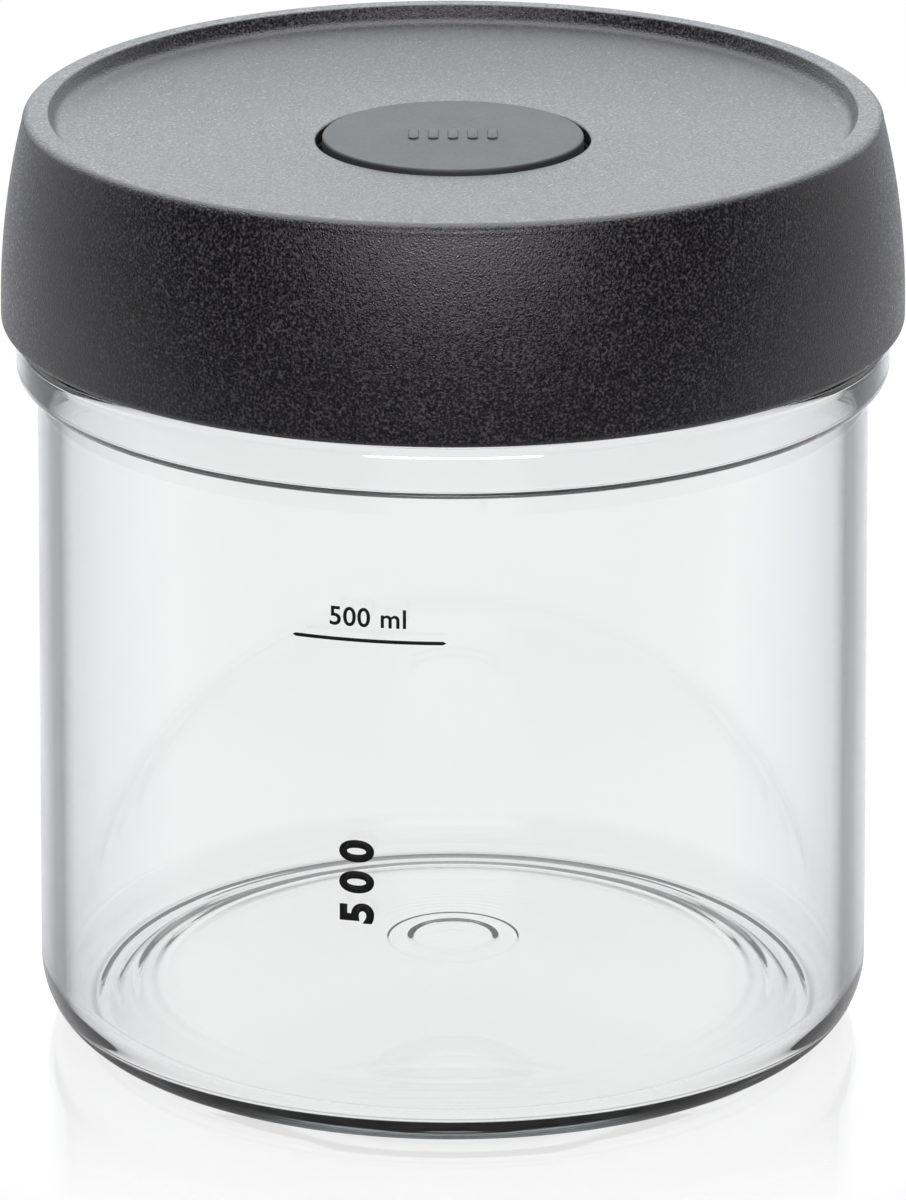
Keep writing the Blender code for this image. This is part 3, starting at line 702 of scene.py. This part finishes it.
def make_spring(steel):
    """The return spring, which shortens as the button goes down."""
    low = MEMBRANE_Z + MEMBRANE_HUB + GAP + SPRING_WIRE
    high = CORE_BOTTOM_Z - GAP - SPRING_WIRE
    steps = int(SPRING_TURNS * 32)
    sides = 12
    climb = (high - low) / (2 * pi * SPRING_TURNS)
    sections = []
    for i in range(steps + 1):
        angle = 2 * pi * SPRING_TURNS * i / steps
        outward = Vector((cos(angle), sin(angle), 0))
        along = Vector((-SPRING_RADIUS * sin(angle), SPRING_RADIUS * cos(angle), climb)).normalized()
        across = along.cross(outward)
        centre = SPRING_RADIUS * outward + Vector((0, 0, low + climb * angle))
        sections.append([centre + SPRING_WIRE * (cos(turn) * outward + sin(turn) * across)
                         for turn in (2 * pi * side / sides for side in range(sides))])
    bm = bmesh.new()
    lofted(bm, sections)
    spring = new_piece("return_spring", bm, "lid", "steel", steel, "valve_spring")
    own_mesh(spring)


def make_button(rubber):
    inner = BUTTON_RADIUS - BUTTON_SKIN
    lip_inner = inner - BUTTON_LIP_REACH
    lip_z = CORE_BOTTOM_Z - GAP
    bottom = lip_z - BUTTON_LIP
    outline = filleted([(0, BUTTON_TOP_Z - BUTTON_SKIN, 0), (inner, BUTTON_TOP_Z - BUTTON_SKIN, 0.3),
                        (inner, lip_z, 0.1), (lip_inner, lip_z, 0.1), (lip_inner, bottom, 0.1),
                        (BUTTON_RADIUS, bottom, 0.3), (BUTTON_RADIUS, BUTTON_TOP_Z, BUTTON_EDGE),
                        (0, BUTTON_TOP_Z, 0)])
    new_piece("button_cap", turned(outline, BUTTON_SEGMENTS), "valve", "button_silicone", rubber,
              "valve_button")


def make_button_pips(rubber):
    """A row of low rounded bars in the middle of the button, felt with a fingertip."""
    bm = bmesh.new()
    half = PIP_WIDTH / 2
    straight = PIP_LENGTH / 2 - half
    end_steps = 10
    for pip in range(PIP_COUNT):
        x = (pip - (PIP_COUNT - 1) / 2) * PIP_PITCH
        sections = []
        for inset, height in PIP_ROUNDING:
            reach = half - inset
            z = BUTTON_TOP_Z + height
            ring = []
            for side in (1, -1):
                for i in range(end_steps + 1):
                    angle = pi * i / end_steps + (0 if side > 0 else pi)
                    ring.append((x + reach * cos(angle), side * straight + reach * sin(angle), z))
            sections.append(ring)
        lofted(bm, sections)
    new_piece("button_pips", bm, "valve", "button_silicone", rubber)


def make_stem(plastic):
    core_radius = BUTTON_RADIUS - BUTTON_SKIN - GAP
    groove_top = CLIP_TOP_Z + STEM_GROOVE_PLAY
    groove_bottom = CLIP_TOP_Z - CLIP_THICKNESS - STEM_GROOVE_PLAY
    outline = filleted([(0, STEM_END_Z, 0), (STEM_RADIUS, STEM_END_Z, 0.4),
                        (STEM_RADIUS, groove_bottom, 0.1),
                        (STEM_GROOVE_RADIUS, groove_bottom, 0.1), (STEM_GROOVE_RADIUS, groove_top, 0.1),
                        (STEM_RADIUS, groove_top, 0.1), (STEM_RADIUS, CORE_BOTTOM_Z, 0.4),
                        (core_radius, CORE_BOTTOM_Z, 0.3), (core_radius, CORE_TOP_Z, 0.3),
                        (0, CORE_TOP_Z, 0)])
    new_piece("button_stem", turned(outline, SMALL_SEGMENTS), "valve", "stem_plastic", plastic,
              "valve_stem")


def make_poppet(plastic, silicone):
    bore = STEM_RADIUS + GAP
    disc_bottom = POPPET_TOP_Z - POPPET_DISC
    hub_bottom = disc_bottom - POPPET_HUB
    outline = filleted([(bore, POPPET_TOP_Z, 0.1), (bore, hub_bottom, 0.1),
                        (POPPET_HUB_RADIUS, hub_bottom, 0.25), (POPPET_HUB_RADIUS, disc_bottom, 0.2),
                        (POPPET_RADIUS, disc_bottom, 0.3), (POPPET_RADIUS, POPPET_TOP_Z, 0.2)])
    new_piece("poppet_disc", turned(outline, SMALL_SEGMENTS), "valve", "stem_plastic", plastic,
              "valve_poppet")
    seal_bottom = SEAL_TOP_Z - SEAL_THICKNESS
    outline = filleted([(bore, SEAL_TOP_Z, 0.15), (bore, seal_bottom, 0.15),
                        (SEAL_RADIUS, seal_bottom, 0.3), (SEAL_RADIUS, SEAL_TOP_Z, 0.3)])
    new_piece("poppet_washer", turned(outline, SMALL_SEGMENTS), "valve", "seal_silicone", silicone,
              "poppet_seal")


def make_clip(steel):
    """The open spring-steel ring that holds the poppet on the stem."""
    bottom = CLIP_TOP_Z - CLIP_THICKNESS
    section = filleted([(CLIP_INNER_RADIUS, bottom, 0.12), (CLIP_OUTER_RADIUS, bottom, 0.12),
                        (CLIP_OUTER_RADIUS, CLIP_TOP_Z, 0.12), (CLIP_INNER_RADIUS, CLIP_TOP_Z, 0.12)])
    steps = 60
    sections = []
    for i in range(steps + 1):
        angle = (2 * pi - CLIP_SPAN) / 2 + CLIP_SPAN * i / steps
        sections.append([(r * cos(angle), r * sin(angle), z) for r, z in section])
    bm = bmesh.new()
    lofted(bm, sections)
    clip = new_piece("retaining_clip", bm, "valve", "steel", steel, "stem_clip")
    clip.data.set_sharp_from_angle(angle=SHARP_EDGE)


def combined(nodes, links, operation, first, second=0.0):
    """One or two values put through a math operation. Each is a socket or a number."""
    node = nodes.new("ShaderNodeMath")
    node.operation = operation
    for value, socket in zip((first, second), node.inputs):
        if isinstance(value, bpy.types.NodeSocket):
            links.new(value, socket)
        else:
            socket.default_value = value
    return node.outputs[0]


def in_metres(*sizes):
    return tuple(size * MM for size in sizes)


def ramped(nodes, links, source, start_end, low_high, smooth=False):
    """The source's stretch from start to end laid out from low to high, and held beyond it."""
    node = nodes.new("ShaderNodeMapRange")
    if smooth:
        node.interpolation_type = "SMOOTHSTEP"
    node.inputs["From Min"].default_value, node.inputs["From Max"].default_value = start_end
    node.inputs["To Min"].default_value, node.inputs["To Max"].default_value = low_high
    links.new(source, node.inputs["Value"])
    return node.outputs["Result"]


def axis_parts(nodes, links, source):
    """The X, Y and Z parts of a vector, as sockets."""
    axes = nodes.new("ShaderNodeSeparateXYZ")
    links.new(source, axes.inputs[0])
    return axes.outputs


def distance_from_axis(nodes, links):
    """How far a point of the piece is from its upright axis, in metres."""
    place = nodes.new("ShaderNodeTexCoord")
    level = nodes.new("ShaderNodeVectorMath")
    level.operation = "MULTIPLY"
    level.inputs[1].default_value = (1, 1, 0)
    links.new(place.outputs["Object"], level.inputs[0])
    length = nodes.new("ShaderNodeVectorMath")
    length.operation = "LENGTH"
    links.new(level.outputs[0], length.inputs[0])
    return length.outputs["Value"]


def value_noise(nodes, links, size, detail=2.0):
    """Noise whose features are about size millimetres across, in the piece's own space."""
    place = nodes.new("ShaderNodeTexCoord")
    noise = nodes.new("ShaderNodeTexNoise")
    noise.inputs["Scale"].default_value = 1 / (size * MM)
    noise.inputs["Detail"].default_value = detail
    links.new(place.outputs["Object"], noise.inputs["Vector"])
    return noise.outputs["Fac"]


def bumped(nodes, links, shader, size, depth, detail):
    """Shallow unevenness of the surface, of a size and a depth in millimetres."""
    bump = nodes.new("ShaderNodeBump")
    bump.inputs["Strength"].default_value = 1.0
    bump.inputs["Distance"].default_value = depth * MM
    links.new(value_noise(nodes, links, size, detail), bump.inputs["Height"])
    links.new(bump.outputs["Normal"], shader.inputs["Normal"])


def surface(name, dark, light, roughness, grain, cloud=9.0, spread=NOISE_RANGE, patch=3.0,
            metallic=0.0, specular=0.5):
    """A moulded or metal finish: cloudy colour, uneven roughness and a fine grain.

    cloud and patch are sizes in millimetres, spread is the range of the noise that runs from
    dark to light, grain is (size, depth) in millimetres, and roughness is (smoothest,
    roughest)."""
    mat = bpy.data.materials.new(name)
    mat.use_nodes = True
    nodes, links = mat.node_tree.nodes, mat.node_tree.links
    shader = nodes["Principled BSDF"]
    shader.inputs["Metallic"].default_value = metallic
    shader.inputs["Specular IOR Level"].default_value = specular
    ramp = nodes.new("ShaderNodeValToRGB")
    ramp.color_ramp.elements[0].position, ramp.color_ramp.elements[1].position = spread
    ramp.color_ramp.elements[0].color = (*dark, 1)
    ramp.color_ramp.elements[1].color = (*light, 1)
    links.new(value_noise(nodes, links, cloud), ramp.inputs["Fac"])
    links.new(ramp.outputs["Color"], shader.inputs["Base Color"])
    patches = value_noise(nodes, links, patch)
    links.new(ramped(nodes, links, patches, NOISE_RANGE, roughness), shader.inputs["Roughness"])
    bumped(nodes, links, shader, *grain, detail=1.0)
    return mat


def painted_edge_shade(nodes, links):
    """Painted shade on the outer wall, for the light it lets in, which falls as the wall turns edge on.

    The ramp's middle stops are a little blue."""
    facing = nodes.new("ShaderNodeLayerWeight")
    turn = nodes.new("ShaderNodeValToRGB")
    stops = turn.color_ramp.elements
    (start, first), (end, last) = GLASS_EDGE_SHADE[0], GLASS_EDGE_SHADE[-1]
    stops[0].position = start
    stops[1].position = end
    for position, light in GLASS_EDGE_SHADE[1:-1]:
        stops.new(position).color = (light, light * 1.03, light * 1.08, 1)
    stops[0].color = (first, first, first, 1)
    stops[-1].color = (last, last, last * 1.05, 1)
    links.new(facing.outputs["Facing"], turn.inputs["Fac"])
    return turn.outputs["Color"]


def outer_wall(nodes, links):
    """Where the painted edge shade goes: one on the upright outside of the glass, nothing inside the
    jar and on level faces.
    """
    outside = combined(nodes, links, "GREATER_THAN", distance_from_axis(nodes, links),
                       (JAR_RADIUS - JAR_WALL / 2) * MM)
    normal = nodes.new("ShaderNodeNewGeometry")
    up = axis_parts(nodes, links, normal.outputs["True Normal"])["Z"]
    tilt = combined(nodes, links, "ABSOLUTE", up)
    upright = ramped(nodes, links, tilt, GLASS_UPRIGHT, (1.0, 0.0), smooth=True)
    return combined(nodes, links, "MULTIPLY", outside, upright)


def glass_material():
    """Clear pressed glass, faintly green along long paths, wavy from the mould and with painted shade
    where its outer wall turns edge on.
    """
    mat = bpy.data.materials.new("clear_glass")
    mat.use_nodes = True
    nodes, links = mat.node_tree.nodes, mat.node_tree.links
    shader = nodes["Principled BSDF"]
    shader.inputs["Transmission Weight"].default_value = 1.0
    shader.inputs["IOR"].default_value = GLASS_IOR
    shader.inputs["Roughness"].default_value = 0.0
    ramp = nodes.new("ShaderNodeValToRGB")
    ramp.color_ramp.elements[0].color = (0.988, 0.992, 0.991, 1)
    ramp.color_ramp.elements[1].color = (0.996, 0.998, 0.998, 1)
    links.new(value_noise(nodes, links, GLASS_CLOUD), ramp.inputs["Fac"])
    # painted shade: on the outer wall the colour darkens as the wall turns edge on
    edge = nodes.new("ShaderNodeMix")
    edge.data_type = "RGBA"
    links.new(outer_wall(nodes, links), edge.inputs["Factor"])
    links.new(ramp.outputs["Color"], edge.inputs["A"])
    links.new(painted_edge_shade(nodes, links), edge.inputs["B"])
    links.new(edge.outputs["Result"], shader.inputs["Base Color"])
    bumped(nodes, links, shader, GLASS_WAVE, GLASS_WAVE_DEPTH, detail=0.0)
    absorb = nodes.new("ShaderNodeVolumeAbsorption")
    absorb.inputs["Color"].default_value = (*GLASS_TINT, 1)
    absorb.inputs["Density"].default_value = GLASS_DENSITY
    links.new(absorb.outputs["Volume"], nodes["Material Output"].inputs["Volume"])
    return mat


def chosen(nodes, links, ray, otherwise, value):
    """One value for rays of a kind and another for the rest, as a socket."""
    mix = nodes.new("ShaderNodeMix")
    links.new(ray, mix.inputs["Factor"])
    links.new(otherwise, mix.inputs[2])
    if isinstance(value, bpy.types.NodeSocket):
        links.new(value, mix.inputs[3])
    else:
        mix.inputs[3].default_value = value
    return mix.outputs[0]


def make_world():
    """White behind everything, and plain soft light for what is not seen directly.

    Reflections see it dark in front and pale behind. Through the glass it is white in the
    middle, and darker towards both sides and overhead."""
    world = bpy.data.worlds.new("studio")
    bpy.context.scene.world = world
    world.use_nodes = True
    nodes, links = world.node_tree.nodes, world.node_tree.links
    path = nodes.new("ShaderNodeLightPath")
    place = nodes.new("ShaderNodeTexCoord")
    axes = axis_parts(nodes, links, place.outputs["Generated"])
    around = ramped(nodes, links, axes["Y"], WORLD_TURN, (WORLD_FRONT, WORLD_BACK))
    sky = ramped(nodes, links, axes["Z"], GLASS_SKY_CLIMB, (GLASS_SKY_LOW, GLASS_SKY_HIGH))
    sideways = combined(nodes, links, "ABSOLUTE", axes["X"])
    flags = ramped(nodes, links, sideways, FLAG_REACH, (1.0, FLAG_GLOW), smooth=True)
    behind = combined(nodes, links, "MULTIPLY", sky, flags)
    through = chosen(nodes, links, path.outputs["Is Transmission Ray"], around, behind)
    seen = chosen(nodes, links, path.outputs["Is Camera Ray"], through, 1.0)
    background = nodes["Background"]
    background.inputs["Color"].default_value = (1, 1, 1, 1)
    links.new(seen, background.inputs["Strength"])


def painted_contact_shadow(nodes, links, distance):
    """One on the open table and less in a ring round the foot: a painted contact shadow."""
    inside = ramped(nodes, links, distance, in_metres(SHADOW_RING_INNER, SHADOW_RING_INNER + SHADOW_RING_FADE),
                    (1.0, SHADOW_RING_GLOW), smooth=True)
    outside = ramped(nodes, links, distance, in_metres(SHADOW_RING_OUTER - 2 * SHADOW_RING_FADE, SHADOW_RING_OUTER),
                     (SHADOW_RING_GLOW, 1.0), smooth=True)
    return combined(nodes, links, "MAXIMUM", inside, outside)


def mixed(nodes, links, share, first, second):
    """Two finishes mixed by the second one's share."""
    mix = nodes.new("ShaderNodeMixShader")
    links.new(share, mix.inputs["Fac"])
    links.new(first, mix.inputs[1])
    links.new(second, mix.inputs[2])
    return mix.outputs[0]


def table_material():
    """A pale table that shows as white, keeps soft shadows, has a painted shadow ring round the foot
    and mirrors the jar's foot.
    """
    mat = bpy.data.materials.new("pale_table")
    mat.use_nodes = True
    nodes, links = mat.node_tree.nodes, mat.node_tree.links
    matt = nodes["Principled BSDF"]
    matt.inputs["Roughness"].default_value = 0.8
    matt.inputs["Specular IOR Level"].default_value = 0.0
    place = nodes.new("ShaderNodeTexCoord")
    depth = axis_parts(nodes, links, place.outputs["Object"])["Y"]
    paleness = ramped(nodes, links, depth, in_metres(*TABLE_TURN), (TABLE_FRONT, TABLE_BACK))
    links.new(paleness, matt.inputs["Base Color"])
    distance = distance_from_axis(nodes, links)
    path = nodes.new("ShaderNodeLightPath")
    seen = combined(nodes, links, "MAXIMUM", path.outputs["Is Camera Ray"],
                    path.outputs["Is Transmission Ray"])
    share = combined(nodes, links, "MULTIPLY", seen, TABLE_GLOW)
    # the table's glow share, cut in the painted shadow ring round the foot
    shadowed_glow_share = combined(nodes, links, "MULTIPLY", share, painted_contact_shadow(nodes, links, distance))
    glow = nodes.new("ShaderNodeEmission")
    glow.inputs["Color"].default_value = (1, 1, 1, 1)
    glow.inputs["Strength"].default_value = 1.0
    white = mixed(nodes, links, shadowed_glow_share, matt.outputs[0], glow.outputs[0])
    mirror = nodes.new("ShaderNodeBsdfGlossy")
    mirror.inputs["Roughness"].default_value = MIRROR_ROUGHNESS
    near = ramped(nodes, links, distance, in_metres(*MIRROR_FADE), (TABLE_MIRROR, 0.0))
    mirrored = combined(nodes, links, "MULTIPLY", path.outputs["Is Camera Ray"], near)
    polished = mixed(nodes, links, mirrored, white, mirror.outputs[0])
    links.new(polished, nodes["Material Output"].inputs["Surface"])
    return mat


def make_floor():
    bm = bmesh.new()
    bmesh.ops.create_grid(bm, x_segments=1, y_segments=1, size=TABLE_REACH * MM)
    mesh = bpy.data.meshes.new("floor")
    bm.to_mesh(mesh)
    bm.free()
    floor = bpy.data.objects.new("floor", mesh)
    bpy.context.collection.objects.link(floor)
    mesh.materials.append(table_material())


def soft_box(name, place, aim, size, radiance, colour=(1, 1, 1)):
    """A wide flat lamp of a given radiance that points at aim, placed and sized in metres."""
    lamp = bpy.data.lights.new(name, "AREA")
    lamp.shape = "RECTANGLE"
    lamp.size, lamp.size_y = size
    lamp.color = colour
    lamp.energy = radiance * pi * size[0] * size[1]
    holder = bpy.data.objects.new(name, lamp)
    bpy.context.collection.objects.link(holder)
    holder.location = place
    holder.rotation_euler = (Vector(aim) - Vector(place)).to_track_quat("-Z", "Y").to_euler()
    holder.visible_camera = False
    holder.visible_transmission = False


def make_lights():
    middle = (0, 0, 0.1)
    soft_box("back_light", (0, 1.1, 0.85), middle, (2.2, 1.4), 2.3, (0.88, 0.95, 1.0))
    soft_box("high_light", (0, 0.1, 1.2), middle, (1.2, 0.9), 5.0, (1.0, 0.98, 1.0))
    soft_box("front_light", (0, -1.05, 0.62), middle, (0.9, 0.3), 14.0, (1.0, 0.96, 1.0))


def make_camera():
    data = bpy.data.cameras.new("camera")
    data.sensor_width = CAMERA_SENSOR
    data.lens = CAMERA_LENS
    data.clip_start = 0.01
    camera = bpy.data.objects.new("camera", data)
    bpy.context.collection.objects.link(camera)
    camera.location = [v * MM for v in CAMERA_PLACE]
    camera.rotation_euler = (pi / 2 - CAMERA_PITCH, 0, 0)
    bpy.context.scene.camera = camera


def main():
    bpy.context.scene.view_settings.view_transform = "Standard"
    glass = glass_material()
    # the lid's fine colour speckle is partly real grain and partly painted sparkle: its few bright
    # flecks stand in for glints of light on the textured plastic
    black = surface("lid_grain_and_painted_sparkle", (0.001, 0.0006, 0.0012), (0.058, 0.053, 0.061), (0.24, 0.56),
                    grain=(0.24, 0.07), cloud=0.36, spread=(0.5, 0.75), patch=0.36, specular=0.5)
    rubber = surface("matte_rubber", (0.026, 0.028, 0.031), (0.034, 0.036, 0.039), (0.58, 0.64),
                     grain=(0.16, 0.012), patch=0.5, specular=0.34)
    grey = surface("liner_plastic", (0.042, 0.042, 0.044), (0.060, 0.060, 0.063), (0.40, 0.50),
                   grain=(0.25, 0.01))
    pale = surface("pale_plastic", (0.70, 0.70, 0.68), (0.78, 0.78, 0.76), (0.38, 0.46),
                   grain=(0.3, 0.008))
    silicone = surface("pale_silicone", (0.58, 0.60, 0.58), (0.66, 0.68, 0.66), (0.50, 0.62),
                       grain=(0.15, 0.006))
    steel = surface("drawn_steel", (0.56, 0.56, 0.57), (0.68, 0.68, 0.68), (0.20, 0.32),
                    grain=(0.06, 0.004), cloud=1.5, patch=0.5, metallic=1.0)
    ink = surface("black_ink", (0.004, 0.004, 0.004), (0.007, 0.007, 0.007), (0.50, 0.60),
                  grain=(0.2, 0.003), cloud=3.0, patch=1.0, specular=0.15)
    make_jar(glass)
    make_fill_line(ink)
    make_print(ink)
    make_cover(black)
    make_liner(grey)
    make_gasket(silicone)
    make_housing(grey)
    make_membrane(silicone)
    make_spring(steel)
    make_button(rubber)
    make_button_pips(rubber)
    make_stem(pale)
    make_poppet(pale, silicone)
    make_clip(steel)
    make_world()
    make_floor()
    make_lights()
    make_camera()


main()
